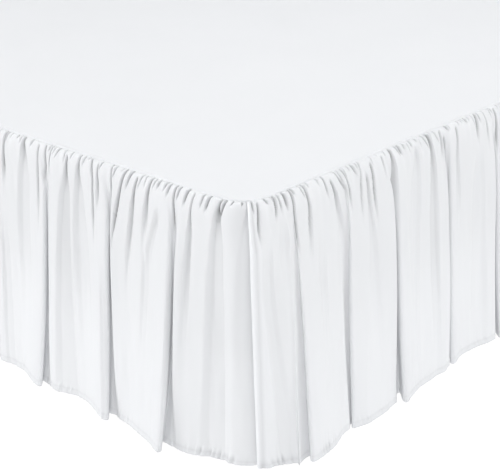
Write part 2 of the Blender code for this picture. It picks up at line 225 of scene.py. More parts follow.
FOOT_CREASES = [Crease(*row) for row in (
    ((9,), (0.8,), 0, 9, 3.6),
    ((0, 0, 2, 5), (3, 6.2, 8.9, 11.4, 14.8), 0, 900, 2.4),
    ((39, 39, 44, 50), (1.1, 4.6, 8.9, 11.2, 15.9), 0, 900, 6.5),
    ((31, 37, 38), (1.2, 1.3, 1.2), 0, 40, 8),
    ((57, 60), (1.5, 1.6), 0, 26, 8),
    ((81, 84, 90, 97), (0.9, 1.3, 3.6, 4.3, 4.4), 3, 240, 4.5),
    ((96, 97), (1.2,), 0, 28, 7),
    ((110, 112), (1,), 0, 24, 5),
    ((118, 117, 116), (1.2, 1.1, 1.2), 0, 80, 6),
    ((118, 118, 116, 115), (1.8, 1.8, 1.8, 1.9, 4), 81, 700, 3),
    ((129,), (1,), 0, 24, 5),
    ((136,), (1,), 0, 16, 6),
    ((138, 138, 164, 173), (2.9, 2.9, 4.1, 6.4, 4.6), 31, 300, 3.5),
    ((149,), (1.3,), 0, 18, 6),
    ((163, 165, 173), (0.9, 2.2, 4, 2.1), 0, 120, 5),
    ((189, 192, 204), (1.1, 1.7, 4, 3.8), 5, 190, 5.5),
    ((202, 209), (1.3, 1.4), 0, 32, 7),
    ((215, 220, 237), (1.1, 1.4, 1.6, 1.5), 0, 130, 7.5),
    ((244, 238, 243), (0.9, 1.6, 1.8), 0, 110, 7),
    ((250, 250, 250, 244), (3.8, 3.8, 3.8, 3.8, 5.1), 117, 700, 3),
    ((271, 263, 264), (0.9, 1.8, 2.9), 4, 84, 5),
    ((287, 277, 273), (0.9, 1.1, 1.2, 1.3), 1, 130, 6),
    ((311, 310, 308, 295), (1, 3.6, 8, 13.9, 15.4), 0, 360, 5.5),
    ((336, 334, 338, 343), (1, 2, 7.1, 8.3, 17.2), 6, 700, 5.5),
    ((372, 371, 372), (1, 1.1, 1.2), 0, 60, 4),
    ((386, 381, 383), (0.9, 1.2, 1.3, 1.2), 2, 80, 4),
    ((403, 398, 395), (0.9, 1.6, 1.8, 1.4), 4, 150, 4.5),
    ((419,), (1,), 0, 14, 8),
    ((439, 432, 436, 428), (1.6, 6.8, 13.3, 14.4, 14.9), 0, 320, 7),
    ((482, 480, 476), (1.2, 1.3, 2.4), 0, 90, 7),
    ((484, 484, 484, 485), (6.8, 6.8, 6.8, 6.9, 9.1), 102, 700, 4),
)]
SIDE_CREASES = [Crease(*row) for row in (
    ((18.5, 16.5, 16), (0.9, 1, 0.8), 3, 66, 3.8),
    ((24, 24, 22, 36), (6.7, 6.7, 6.8, 6.6, 9.5), 46, 700, 3),
    ((32,), (0.9,), 0, 10, 6),
    ((42, 39), (0.9, 1.2), 0, 22, 4),
    ((47, 39), (1.5, 1.1), 0, 36, 7),
    ((52, 52, 49), (6, 6, 6.4, 6.7), 35, 140, 3),
    ((54, 50), (0.9, 1.3), 0, 32, 3.5),
    ((64, 62), (1.3, 1), 0, 30, 5),
    ((77, 73, 74), (1.4, 1.3), 0, 100, 6.5),
    ((81,), (1,), 0, 13, 6),
    ((101, 102, 92), (1.2, 1.8, 2.6, 2.9), 0, 120, 4.5),
    ((123, 123, 117, 108), (7.9, 7.9, 7.9, 7.6, 5.4), 70, 300, 3.5),
    ((142, 143), (1, 1.4), 0, 38, 4),
    ((149, 159, 178), (1.2, 2.6, 6, 7), 7, 130, 5),
    ((165, 180, 186), (1.2, 2, 1.4), 0, 60, 3.5),
    ((179, 188, 190), (0.9, 1.1, 1.3), 1, 70, 4.5),
    ((219, 211, 209), (1, 1.4, 1.3), 0, 100, 3.2),
    ((223, 226, 230, 220), (1.2, 1.7, 2.9, 7.1, 22.4), 15, 420, 3.5),
    ((237, 238, 244), (1, 1.3, 1.7, 1.3), 7, 110, 4.5),
    ((267, 265), (1.3, 1.6), 4, 44, 3),
    ((289, 289, 284), (1.6, 3.6, 3.2, 2.6), 0, 110, 5),
    ((310,), (1.7,), 0, 20, 8),
    ((336,), (1.2,), 0, 16, 4),
    ((342, 341, 333, 320), (2.7, 4.4, 8.6, 9.6, 10.9), 11, 560, 3),
    ((378, 380, 376, 377), (2.1, 3.8, 6.3, 8.6, 9), 0, 420, 6),
    ((403, 403, 402, 397), (7.6, 7.6, 7.6, 7.1, 10.5), 87, 260, 2.5),
    ((409, 406, 405), (1.6, 2.3, 2.5), 3, 60, 4),
    ((417, 418, 422, 424), (1, 1.1), 11, 110, 6),
    ((428,), (1.6,), 0, 13, 6),
    ((448, 448, 447), (1.4, 1.9, 4.9, 6.6), 6, 200, 4),
    ((478,), (1.2,), 0, 12, 6),
    ((502, 502, 500, 495), (7.7, 7.7, 8, 12.8, 18.1), 51, 500, 3.5),
    ((507, 501, 497), (1.3, 2, 1.9), 0, 50, 5),
    ((526, 525, 528), (1.5, 1.8, 1.9), 0, 70, 3.5),
    ((554, 554, 550), (1.4, 1.5, 1.6), 3, 90, 6),
)]

# Each row is one kind of gather beyond those: its pitch along the seam, how far down it reaches,
# its depth, its half widths at the top and at its end, how near to a longer one it may be, the
# share of the way there that it drifts, and whether it waits for the end of the drawn ones.
Gather = namedtuple("Gather", "pitch reach depth narrow broad room drift waits")
GATHERS = [
    Gather((32, 60), (120, 380), (7.0, 9.0), (0.9, 1.6), (5, 12), 15, 0.0, True),
    Gather((18, 34), (40, 130), (4.5, 8.0), (0.6, 0.9), (1.5, 4), 7.5, 0.35, True),
    Gather((5.5, 13), (7, 27), (4.0, 8.0), (0.45, 0.7), (0.6, 0.9), 5.5, 0.45, False),
]
GATHER_STRENGTH = {"ruffle_foot": 0.9, "ruffle_right": 0.65, "ruffle_left": 0.8}
GATHER_START = (2, 8)
GATHER_WAIT = 50  # those that wait start this far beyond the drawn ones
GATHER_END = 4  # they end this far from the end of the seam
DRIFT_MOST = 14  # it drifts its share of at most this, to where that one is at DRIFT_AT
DRIFT_AT = 30
BEND_RANGE = (-3, 3)  # how far a gather wanders down the cloth, in three steps
WANDER_RANGE = (-9, 9)
SWING_RANGE = (-4, 8)
EARLY_WIDENING = 0.3  # share of its widening that it has at its second half width

# -------- the deck
DECK_HEAD_CORNER = 0.010
DECK_EDGE = 0.028  # the deck's mesh is fine this near to its edges
DECK_FINE = 1.0 * MM
DECK_COARSE = 8.0 * MM
RIDGE_WIDTH = 8 * MM  # the sewn edge of the deck, over its seam allowance
RIDGE_HEIGHT = 1.8 * MM
RIDGE_LEAN = 0.7  # below 1, its top is nearer to the seam
RIDGE_POWER = 1.3
RIDGE_WAVES = [(0.16, 1, 1.7, 0.013), (0.10, 1, -1, 0.05)]  # share, along x and y, pitch
DECK_SWELL = 1.1 * MM
DECK_SWELL_FROM = 0.10
SWELL_WAVES = [(1, 0.35, 0.34), (-0.3, 1, 0.50)]  # along x and y, pitch
SWELL_FLOOR = 1.2  # the swell is flat where its waves are this far below the middle


# -------- plain helpers
def add_object(name, data):
    made = bpy.data.objects.new(name, data)
    bpy.context.scene.collection.objects.link(made)
    return made


def quads_between(index):
    corners = [index[:-1, :-1], index[1:, :-1], index[1:, 1:], index[:-1, 1:]]
    return np.stack(corners, axis=-1).reshape(-1, 4)


def grid_faces(index, dense):
    """The faces between rows of points, which from row "dense" on keep every second column."""
    high, low = index[:dense], index[dense:, ::2]
    faces = [quads_between(high)]
    if len(low):
        fives = [high[-1, :-1:2], low[0, :-1], low[0, 1:], high[-1, 2::2], high[-1, 1::2]]
        faces += [np.stack(fives, axis=-1), quads_between(low)]
    return faces


def grid_object(name, points, uv, finish, dense=None, shade=None):
    """A sheet from rows and columns of points, with a UV map in metres of flat cloth.

    With "dense" rows given, the rows below them keep only every second column. "shade" is the
    shade painted on the cloth at each point, up to 1, and below 0 it is a painted highlight.
    """
    rows, columns = points.shape[:2]
    dense = dense or rows
    index = np.full((rows, columns), -1)
    index[:dense] = np.arange(dense * columns).reshape(dense, columns)
    kept = index[dense:, ::2].shape
    index[dense:, ::2] = dense * columns + np.arange(kept[0] * kept[1]).reshape(kept)
    used = index >= 0
    faces = grid_faces(index, dense)
    corners = np.concatenate([face.ravel() for face in faces])
    sizes = np.concatenate([np.full(len(face), face.shape[1]) for face in faces])
    starts = np.concatenate([[0], np.cumsum(sizes)[:-1]])
    mesh = bpy.data.meshes.new(name)
    mesh.vertices.add(int(used.sum()))
    mesh.vertices.foreach_set("co", points[used].astype(np.float32).ravel())
    mesh.loops.add(len(corners))
    mesh.loops.foreach_set("vertex_index", corners.astype(np.int32))
    mesh.polygons.add(len(sizes))
    mesh.polygons.foreach_set("loop_start", starts.astype(np.int32))
    mesh.update(calc_edges=True)
    layer = mesh.uv_layers.new(name="cloth")
    layer.uv.foreach_set("vector", uv[used][corners].astype(np.float32).ravel())
    if shade is not None:
        # The painted shade goes on as the crease attribute, which the cloth's material reads.
        inside = mesh.attributes.new("crease", "FLOAT", "POINT")
        inside.data.foreach_set("value", shade[used].astype(np.float32))
    mesh.shade_smooth()
    mesh.materials.append(finish)
    return add_object(name, mesh)


def smooth_step(x):
    x = np.clip(x, 0.0, 1.0)
    return x * x * (3 - 2 * x)


def waves(rng, place, pitch, count=5):
    """A smooth random line of about unit size, with waves near the pitch."""
    total = np.zeros_like(place)
    for _ in range(count):
        length = pitch * rng.uniform(0.6, 1.8)
        total += np.sin(place * (2 * math.pi / length) + rng.uniform(0, 2 * math.pi))
    return total / math.sqrt(count / 2)


# -------- the ruffles' hanging shape
class Wall(namedtuple("Wall", "corner along out run both_ends")):
    """One side of the bed, measured from a corner of the seam: along it, and out from it.

    The foot has a corner at both ends.
    """

    def place(self, along, out, radius):
        """World x and y of places. Near a corner they go round an arc of the radius."""
        reach = radius + out
        rate = math.pi / 4 / (radius - SPLIT)
        bends = [(radius, -1), (self.run - radius, 1)]
        a, n = along, out
        for bend, sign in bends if self.both_ends else bends[:1]:
            turn = np.maximum(sign * (along - bend), 0) * rate
            a = np.where(turn > 0, bend + sign * reach * np.sin(turn), a)
            n = np.where(turn > 0, reach * np.cos(turn) - radius, n)
        x = self.corner[0] + a * self.along[0] + n * self.out[0]
        y = self.corner[1] + a * self.along[1] + n * self.out[1]
        return x, y


def more_folds(drawn, run, fall_in, seed):
    """The drawn folds, and as many others as reach the end of the wall, no two the same."""
    rng = random.Random(seed)
    start = drawn[-1].hem * MM
    count = round((run - start) / FOLD_PITCH)
    pitch = (run - start) / count
    folds = list(drawn)
    for number in range(1, count):
        parts = {part: rng.uniform(*limits) for part, limits in FOLD_RANGES.items()}
        fold = Fold(**parts, lap=0.0)
        low = (start + number * pitch) / MM + fold.low
        folds.append(fold._replace(low=low, top=low - fold.top, hem=low + fold.hem))
    folds[-1] = folds[-1]._replace(far=fall_in[0], end=fall_in[1])
    return folds


def edge_along(fold, depth):
    """Distance of a fold's near edge from the corner; depth runs from 0 to 1 at the hem."""
    straight = fold.top + (fold.low - fold.top) * depth
    return (straight + (fold.hem - fold.low) * depth ** HEM_SWING) * MM


def hung(offset, depth):
    """An offset at that depth, in metres: small under the rim, and whole at the hem."""
    least = LEAST_OUT / MM
    return (least + (offset - least) * (1 - FLARE * (1 - depth))) * MM


def front_points(fold, last, is_first, is_last):
    """Places across a fold's front, as shares of its width, with their offsets."""
    front = [(EDGE_SHARE, fold.edge)]
    if is_first:
        front = [(share, fold.edge + (fold.near - fold.edge) * share / NEAR_SHARE)
                 for share in CORNER_SHARES]
    front += [(NEAR_SHARE, fold.near), (MIDDLE_SHARE, fold.middle), (FAR_SHARE, fold.far)]
    if is_last:
        front += [(1 - share, last.edge + (fold.end - last.edge) * share / CORNER_SHARES[-1])
                  for share in reversed(CORNER_SHARES)]
    return front


def slot_points(fold, following, finish, depth):
    """The turn from a fold's far end, round its slot, to the next fold's near edge."""
    slot = (fold.slot + fold.gape * (1 - depth)) * MM
    tuck = fold.tuck * MM * depth ** TUCK_POWER
    turned = fold.lap + (1 - fold.lap) * depth ** TURN_POWER
    turn = hung(LEAST_OUT / MM + (fold.turn - LEAST_OUT / MM) * turned, depth)
    fallen = fold.lap + (1 - fold.lap) * depth ** FALL_POWER
    end = hung(fold.end + max(0, following.edge - STEP - fold.end) * (1 - fallen), depth)
    edge = hung(following.edge, depth)
    roll = min(ROLL, SMALL_TURN * (edge - turn))
    lip = min(LIP, SMALL_TURN * (edge - turn))
    along_bend, in_bend = EDGE_BEND
    return [
        (finish - slot - roll, end),
        (finish - slot, end - SLOT_BEND * lip),
        (finish - slot, turn + SLOT_BEND * (end - turn)),
        (finish - SLOT_FLOOR * slot + tuck, turn),
        (finish + tuck, turn + lip),
        (finish, edge - 2 * roll),
        (finish + along_bend * roll, edge - in_bend * roll),
        (finish + roll, edge),
    ]


def control_points(folds, last, depth):
    """The section of a hanging ruffle as the control points of a smooth curve."""
    points = [(edge_along(folds[0], depth), hung(folds[0].edge, depth))]
    for fold, following in zip(folds, folds[1:] + [last]):
        start = edge_along(fold, depth)
        finish = edge_along(following, depth)
        front = front_points(fold, last, fold is folds[0], following is last)
        points += [(start + share * (finish - start), hung(offset, depth))
                   for share, offset in front]
        if following is not last:
            points += slot_points(fold, following, finish, depth)
    points.append((edge_along(last, depth), hung(last.edge, depth)))
    return points


def smooth_section(points, stations):
    """Places on the cubic B-spline of the control points, with its two ends kept."""
    points = np.array(points)
    padded = np.vstack([2 * points[0] - points[1], points, 2 * points[-1] - points[-2]])
    span = np.minimum(stations.astype(int), len(points) - 2)
    t = (stations - span)[:, None]
    weights = ((1 - t) ** 3, 3 * t ** 3 - 6 * t ** 2 + 4, 1 + 3 * t + 3 * t ** 2 - 3 * t ** 3, t ** 3)
    return sum(weight * padded[span + step] for step, weight in enumerate(weights)) / 6


def spaced_stations(points, count, closer):
    """Stations on the curve, closer at its start by that share, and the cloth up to each."""
    fine = np.linspace(0, len(points) - 1, CURVE_STEPS * len(points))
    curve = smooth_section(points, fine)
    steps = np.hypot(*np.diff(curve, axis=0).T)
    cloth = np.concatenate([[0], np.cumsum(steps)])
    density = 1 + closer * smooth_step((CLOSER_UNTIL - curve[1:, 0]) / CLOSER_FADE)
    weight = np.concatenate([[0], np.cumsum(steps * density)])
    stations = np.interp(np.linspace(0, weight[-1], count), weight, fine)
    return stations, np.interp(stations, fine, cloth)


def row_lengths():
    """How far down the cloth each row of the mesh is, from the seam to the hem."""
    rows = [0.0]
    for end, step in ROW_ZONES:
        count = round((end - rows[-1]) / step)
        rows += list(np.linspace(rows[-1], end, count + 1)[1:])
    return np.array(rows) * MM


# What one ruffle is made from. "last" is the edge that ends its folds, and "drawn" are creases.
Plan = namedtuple("Plan", "wall folds last drawn seed")

# Where each point hangs before the cloth is creased: along the wall, out from it, and down. The
# rest is the length of cloth above it, and how near it is to an edge or a corner.
Hanging = namedtuple("Hanging", "along out fall length under_rim lap far_lap corner")


def hanging_cloth(plan, stations, seam, lengths):
    """The broad folds under the seam. The cloth rolls over the rim, and then falls."""
    depths = lengths / DROP
    low = np.array([smooth_section(control_points(plan.folds, plan.last, depth), stations)
                    for depth in depths])
    corner = np.exp(-seam / CORNER_REACH)
    if plan.wall.both_ends:
        corner = corner + np.exp((seam - plan.wall.run) / CORNER_REACH)
    drop = DROP - CORNER_RISE * corner
    length = depths[:, None] * drop
    hanging = np.maximum(low[..., 1], LEAST_OUT)
    out = hanging * (1 - np.exp(-length / hanging))
    step = np.diff(length, axis=0)
    down = np.sqrt(np.maximum(step ** 2 - np.diff(out, axis=0) ** 2, (LEAST_FALL * step) ** 2))
    fall = np.vstack([np.zeros_like(drop), np.cumsum(down, axis=0)])
    fall *= drop / fall[-1]
    settled = 1 - np.exp(-(length / SETTLE) ** SETTLE_POWER)
    along = seam + (low[..., 0] - seam) * settled
    under_rim = smooth_step(length / LAP_FROM)
    lap = np.exp(-(seam - seam[0]) / LAP_REACH) * under_rim
    far_lap = np.exp((seam - seam[-1]) / LAP_REACH) * under_rim
    if plan.wall.both_ends:
        along = along - CORNER_LAP * (lap - far_lap)
    else:
        along = along + CORNER_BACK * lap * (1 - smooth_step(length / CORNER_BACK_REACH))
    return Hanging(along, out, fall, length, under_rim, lap, far_lap, corner)


# -------- the ruffles' fine shape
def wrinkles(rng, along, length):
    """Faint unevenness that leans a little, in metres."""
    total = np.zeros_like(along)
    for pitch, fade, height in WRINKLES:
        lean = rng.uniform(-WRINKLE_LEAN, WRINKLE_LEAN)
        strands = waves(rng, along + lean * length, pitch)
        patches = waves(rng, length + WRINKLE_DRIFT * along, fade, count=3)
        total += height * strands * (0.5 + 0.5 * patches)
    return total


def hem_puckers(rng, name, cloth, along, length):
    """The puckers beside the hem's stitching, and the shade painted on them and on the stitching."""
    above = DROP - length
    beside = np.exp(-((above - STITCH_RISE) / PUCKER_REACH) ** 2)
    stitching = np.exp(-((above - STITCH_RISE) / STITCH_WIDTH) ** 2)
    crowd = np.zeros_like(along)
    for middle, half in CROWDED[name]:
        crowd = np.maximum(crowd, np.exp(-((along / MM - middle) / half) ** CROWD_POWER))
    strands = waves(rng, cloth + PUCKER_LEAN * above, PUCKER_PITCH)
    height = (PUCKER_HEIGHT + CROWDED_HEIGHT * crowd) * strands * beside
    shade = STITCH_SHADE * stitching + PUCKER_SHADE * crowd * np.maximum(-strands, 0) * beside
    return height - STITCH_DEPTH * stitching, shade


def place_at(crease, down):
    return np.interp(down, PLACES_AT[:len(crease.places)], crease.places)


def crease_profile(crease, along, down):
    """How far into a crease each point lies, from 0 to 1, and the crease's half width there."""
    middle = place_at(crease, down)
    half = np.interp(down, HALVES_AT[:len(crease.halves)], crease.halves)
    offset = along / MM - middle
    wall = (CREASE_WALL + CREASE_WALL_GROWS * half) * np.where(offset < 0, 1 - SKEW, 1 + SKEW)
    across = 1 - smooth_step((np.abs(offset) - half) / wall + 0.5)
    tail = np.minimum(TAIL + TAIL_GROWS * down, TAIL_MOST)
    beyond = np.where(offset < 0, 1 - smooth_step((-offset - half) / tail), across)
    return (1 - TAIL_SHARE) * across + TAIL_SHARE * beyond, half


def crease_bump(creases, seam, along, length):
    """How far the creases push the cloth in at each point (below 0), and the shade painted there."""
    troughs = np.zeros_like(along)
    shade = np.zeros_like(along)
    down = (length / MM)[:, :1]
    room = RIM_ROOM / MM + RIM_ROOM_GROWS * down
    for crease in creases:
        near = np.abs(seam / MM - crease.places[0]) < CREASE_WINDOW
        across, half = crease_profile(crease, along[:, near], down)
        ramp = CREASE_RAMP + CREASE_RAMP_GROWS * crease.start
        share = np.clip(down / crease.reach, 0, 1)
        strength = smooth_step((down - crease.start) / ramp)
        strength *= 1 - smooth_step((share - FADE_FROM) / (1 - FADE_FROM))
        shallow = 1 - BROAD_SHALLOWER * smooth_step((half - BROAD_FROM) / BROAD_OVER)
        deep = np.minimum(crease.depth * strength, room) * shallow
        troughs[:, near] += (deep * across) ** UNION_POWER
        # Painted shade in the crease, most where it is narrow and deep.
        steep = np.clip(deep / (STEEP * half), 0, 1) ** STEEP_POWER
        inside = steep * np.clip(deep / SHADE_DEPTH, 0, 1) * across ** 2
        shade[:, near] = np.maximum(shade[:, near], inside)
    return -troughs ** (1 / UNION_POWER) * MM, shade


def drawn_gather(rng, kind, place, drift, strength):
    """One gather of a kind, under that place on the seam."""
    bend = place + drift + rng.uniform(*BEND_RANGE)
    low = bend + rng.uniform(*WANDER_RANGE)
    narrow = rng.uniform(*kind.narrow)
    broad = rng.uniform(*kind.broad)
    places = (place, bend, low, low + rng.uniform(*SWING_RANGE))
    halves = (narrow, (1 - EARLY_WIDENING) * narrow + EARLY_WIDENING * broad, broad)
    reach = rng.uniform(*kind.reach)
    return Crease(places, halves, 0, reach, strength * rng.uniform(*kind.depth))


def gathers(rng, run, drawn, strength):
    """The gathers under the seam: small ones that run together into fewer and longer ones."""
    creases = list(drawn)
    beyond_drawn = max([crease.places[0] for crease in drawn], default=0) + GATHER_WAIT
    for kind in GATHERS:
        longer = list(creases)
        place = beyond_drawn if kind.waits else rng.uniform(*GATHER_START)
        while place < run / MM - GATHER_END:
            room, drift = kind.room, 0
            if longer:
                nearest = min(longer, key=lambda crease: abs(crease.places[0] - place))
                room = abs(nearest.places[0] - place)
                way = place_at(nearest, DRIFT_AT) - place
                drift = kind.drift * max(-DRIFT_MOST, min(DRIFT_MOST, way))
            if room >= kind.room:
                creases.append(drawn_gather(rng, kind, place, drift, strength))
            place += rng.uniform(*kind.pitch)
    return creases


def over_rim(length, reach):
    """From 0 at the seam, this rises to 1 over the rim, and fades over the reach below it."""
    return smooth_step(length / RIM_RISE) * (1 - smooth_step((length - RIM_FALL) / reach))


def side_edge(cloth, at):
    """How far a side ruffle's rolled, stitched edge stands out, and its painted shade and highlight.
    """
    edge = (cloth - cloth[0]) / EDGE_ROLL
    groove = np.exp(-((edge - EDGE_STITCHING) / EDGE_STITCHING_WIDTH) ** 2)
    rolled = EDGE_ROLL_IN * (1 - smooth_step(edge))
    painted_highlight = 1 - smooth_step((edge - 1) / EDGE_FADE)
    height = at.under_rim * (CORNER_LIFT * at.lap ** 2 - rolled - EDGE_SINK * groove)
    return height, at.under_rim * (EDGE_SHADE * groove - EDGE_PAINTED_HIGHLIGHT * painted_highlight)


def cloth_relief(name, plan, rng, creases, cloth, seam, at):
    """How far the cloth stands out from where it hangs, in metres, and its painted shade."""
    relief, shade = crease_bump(creases, seam, at.along, at.length)
    lift = 1
    for share, pitch in GATHER_LIFT_WAVES:
        lift = lift + share * waves(rng, at.along, pitch)
    relief += GATHER_LIFT * lift * over_rim(at.length, GATHER_LIFT_REACH)
    relief += CORNER_PUFF * at.corner * over_rim(at.length, CORNER_PUFF_REACH)
    if plan.wall.both_ends:
        relief -= CORNER_LIFT * (at.lap + at.far_lap)
    else:
        height, edge_shade = side_edge(cloth, at)
        relief += height
        shade = shade + edge_shade
    relief += wrinkles(rng, at.along, at.length) * smooth_step(at.length / WRINKLES_FROM)
    height, hem_shade = hem_puckers(rng, name, cloth, at.along, at.length)
    relief += height
    shade = np.clip(shade + hem_shade, -1, 1)
    return np.maximum(relief, -RIM_ROOM - RIM_ROOM_GROWS * at.length), shade


def sheet_points(wall, at, relief):
    """The points of the sheet: where the cloth hangs, moved square to its fall by the relief."""
    slope_out = np.gradient(at.out, axis=0)
    slope_fall = np.gradient(at.fall, axis=0)
    slope = np.hypot(slope_out, slope_fall)
    out = at.out + relief * slope_fall / slope
    clear = np.maximum(out, np.minimum(LEAST_CLEAR, at.out))
    out = np.where(at.length > CLEAR_FROM, clear, out)
    at_rim = 1 - smooth_step(at.length / RIM_CORNER_REACH)
    radius = SEAM_CORNER + (RIM_CORNER - SEAM_CORNER) * at_rim
    x, y = wall.place(at.along, out + SEAM_GAP / 2, radius)
    z = SEAM_Z - at.fall + relief * slope_out / slope
    return np.stack([x, y, z], axis=-1)


def sheet_normals(points, out):
    """Normals of the sheet, on the side that the wall's outward direction says."""
    across = np.gradient(points, axis=1)
    downward = np.gradient(points, axis=0)
    normals = np.cross(across, downward)
    normals /= np.linalg.norm(normals, axis=-1, keepdims=True)
    middle = normals[len(points) // 2]
    return -normals if np.mean(middle @ np.array([*out, 0.0])) < 0 else normals


def with_hem(points, v, shade, normals, lengths):
    """The sheet's rows, and below them the hem's edge and the rows turned up behind it."""
    behind = np.flatnonzero(lengths > DROP - HEM_FOLD_UP - ROUNDING)[::-1]
    turned = points[behind] - HEM_THICKNESS * normals[behind]
    edge = points[-1] - HEM_THICKNESS / 2 * normals[-1]
    edge[:, 2] -= HEM_THICKNESS / 3
    points = np.concatenate([points, edge[None], turned])
    edge_v = np.full((1, v.shape[1]), -HEM_THICKNESS / 2)
    v = np.concatenate([v, edge_v, -HEM_THICKNESS - v[behind]])
    shade = np.concatenate([shade, shade[-1:], shade[behind]])
    return points, v, shade


def ruffle(name, plan, finish):
    """One gathered ruffle, creased and uneven, with its hem turned up."""
    rng = random.Random(plan.seed)
    creases = gathers(rng, plan.wall.run, plan.drawn, GATHER_STRENGTH[name])
    shape = control_points(plan.folds, plan.last, WIDTH_DEPTH / DROP)
    stations, cloth = spaced_stations(shape, COLUMNS[name], CLOSER_COLUMNS[name])
    width = cloth[-1]
    start = SPLIT + SEAM_GAP
    stop = plan.wall.run - start if plan.wall.both_ends else plan.wall.run
    seam = start + (stop - start) * cloth / width
    lengths = row_lengths()
    at = hanging_cloth(plan, stations, seam, lengths)
    relief, shade = cloth_relief(name, plan, rng, creases, cloth, seam, at)
    points = sheet_points(plan.wall, at, relief)
    normals = sheet_normals(points, plan.wall.out)
    v = np.broadcast_to((DROP - lengths)[:, None], shade.shape)
    points, v, shade = with_hem(points, v, shade, normals, lengths)
    uv = np.stack([np.broadcast_to(cloth, v.shape), v], axis=-1)
    dense = int(np.searchsorted(lengths, DENSE_DOWN_TO)) + 1
    made = grid_object(name + "_cloth", points, uv, finish, dense, shade)
    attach(made, "root")
    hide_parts(name)


# -------- the deck
def deck_steps(length):
    """Even steps along a side, with fine ones near both ends."""
    near = np.linspace(0, DECK_EDGE, round(DECK_EDGE / DECK_FINE) + 1)
    count = round((length - 2 * DECK_EDGE) / DECK_COARSE) + 1
    middle = np.linspace(DECK_EDGE, length - DECK_EDGE, count)
    return np.concatenate([near[:-1], middle, length - near[::-1][1:]])


def with_round_corners(x, y):
    """The places of a square grid, with each corner's stretch drawn in to an arc."""
    for side in (-1, 1):
        for end, radius in ((0.0, RIM_CORNER), (DECK_LENGTH, DECK_HEAD_CORNER)):
            inward = 1 if end == 0.0 else -1
            u = (side * x - (DECK_WIDTH / 2 - radius)) / radius
            w = (radius - inward * (y - end)) / radius
            here = (u > 0) & (w > 0)
            round_u = u * np.sqrt(1 - w ** 2 / 2, where=here, out=np.ones_like(u))
            round_w = w * np.sqrt(1 - u ** 2 / 2, where=here, out=np.ones_like(u))
            x = np.where(here, side * (DECK_WIDTH / 2 - radius + radius * round_u), x)
            y = np.where(here, end + inward * (radius - radius * round_w), y)
    return x, y


def deck_relief(x, y):
    """How high the deck stands over its seam's line: its sewn edge, and a faint swell."""
    rng = random.Random(5)
    edge = np.minimum(DECK_WIDTH / 2 - np.abs(x), y)
    sewn = np.clip(edge / RIDGE_WIDTH, 0, 1)
    ridge = np.where(sewn < 1, np.sin(math.pi * sewn ** RIDGE_LEAN) ** RIDGE_POWER, 0.0)
    uneven = 1
    for share, along_x, along_y, pitch in RIDGE_WAVES:
        uneven = uneven + share * waves(rng, along_x * x + along_y * y, pitch)
    swell = 1
    for along_x, along_y, pitch in SWELL_WAVES:
        swell = swell * waves(rng, along_x * x + along_y * y, pitch, count=4)
    above = np.maximum(swell + SWELL_FLOOR, 0)
    swell = above ** 2 / (1 + above)
    inside = smooth_step(edge / DECK_SWELL_FROM)
    return RIDGE_HEIGHT * ridge * uneven + DECK_SWELL * swell * inside


def deck(finish):
    """The flat sheet on the box spring. Its sewn edge stands up a little over the seam."""
    flat_x, flat_y = np.meshgrid(deck_steps(DECK_WIDTH) - DECK_WIDTH / 2, deck_steps(DECK_LENGTH))
    x, y = with_round_corners(flat_x, flat_y)
    z = SEAM_Z + deck_relief(flat_x, flat_y)
    points = np.stack([x, FOOT_SEAM_Y + y, z], axis=-1)
    made = grid_object("deck_cloth", points, np.stack([flat_x, flat_y], axis=-1), finish)
    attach(made, "root")
    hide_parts("deck")


# -------- materials
MIX_FIRST, MIX_SECOND, MIX_RESULT = 6, 7, 2  # the colour sockets of a mix node
SHINE_THROUGH = 0.18  # share of the light that passes through the thin cloth


def shader_of(finish):
    return finish.node_tree.nodes["Principled BSDF"]


def new_material(name, colour, roughness):
    made = bpy.data.materials.new(name)
    made.use_nodes = True
    shader = shader_of(made)
    shader.inputs["Base Color"].default_value = (*colour, 1.0)
    shader.inputs["Roughness"].default_value = roughness
    return made


def linked_node(tree, kind, inputs=(), **settings):
    """A node with its settings, and its inputs set to values or linked to sockets."""
    node = tree.nodes.new(kind)
    for key, value in settings.items():
        setattr(node, key, value)
    for key, value in dict(inputs).items():
        if isinstance(value, bpy.types.NodeSocket):
            tree.links.new(value, node.inputs[key])
        else:
            node.inputs[key].default_value = value
    return node


def maths(tree, operation, one, two=0.0):
    return linked_node(tree, "ShaderNodeMath", {0: one, 1: two}, operation=operation).outputs[0]


def noise(tree, place, scale, detail=2.0):
    inputs = {"Vector": place, "Scale": scale, "Detail": detail}
    return linked_node(tree, "ShaderNodeTexNoise", inputs).outputs["Fac"]


def mixed_colour(tree, share, colour, other):
    """A colour that goes from one to the other as the share goes from 0 to 1."""
    inputs = {"Factor": share, MIX_FIRST: (*colour, 1.0), MIX_SECOND: (*other, 1.0)}
    return linked_node(tree, "ShaderNodeMix", inputs, data_type="RGBA").outputs[MIX_RESULT]


def add_bump(tree, shader, height, strength, distance):
    inputs = {"Height": height, "Strength": strength, "Distance": distance}
    bump = linked_node(tree, "ShaderNodeBump", inputs)
    tree.links.new(bump.outputs[0], shader.inputs["Normal"])


